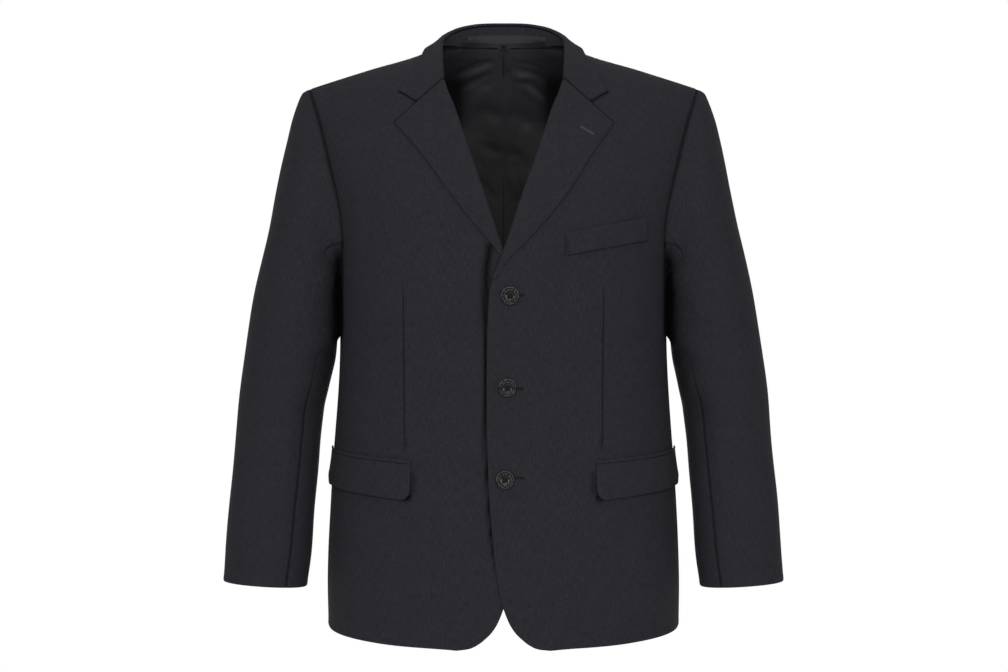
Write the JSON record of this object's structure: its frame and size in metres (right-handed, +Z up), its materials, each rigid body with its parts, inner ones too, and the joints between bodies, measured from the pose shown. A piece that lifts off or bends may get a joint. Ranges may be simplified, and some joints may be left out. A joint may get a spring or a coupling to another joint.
{
  "type": "blazer",
  "caption": "Single-breasted blazer with notch lapels, three buttons, breast welt, flap pockets and rounded front corners, filled out as worn and hollow inside.",
  "frame": {"origin": "Between the neck ends of the two shoulder seams, where a wearer's shoulders or a hanger hold the blazer.", "axes": "+Z up along the body; -Y is the front, with the buttons; +X is the wearer's left."},
  "size_m": [0.6982, 0.2765, 0.7805],
  "materials": {
    "wool": "fine heathered suiting, matte",
    "lining": "smooth satin lining, soft sheen",
    "band": "plain woven band, matte",
    "horn": "polished dark horn look"
  },
  "bodies": {
    "root": {"front_left": "wool", "front_right": "wool", "side_left": "wool", "side_right": "wool", "back_left": "wool", "back_right": "wool", "top_sleeve_left": "wool", "top_sleeve_right": "wool", "under_sleeve_left": "wool", "under_sleeve_right": "wool", "lapel_left": "wool", "lapel_right": "wool", "top_collar": "wool", "collar_stand": "wool", "breast_welt": "wool", "flap_left": "wool", "flap_right": "wool", "jet_left": "wool", "jet_right": "wool", "back_lining_left": "lining", "back_lining_right": "lining", "neck_band": "band", "button_top": "horn", "button_middle": "horn", "button_bottom": "horn"}
  },
  "joints": []
}
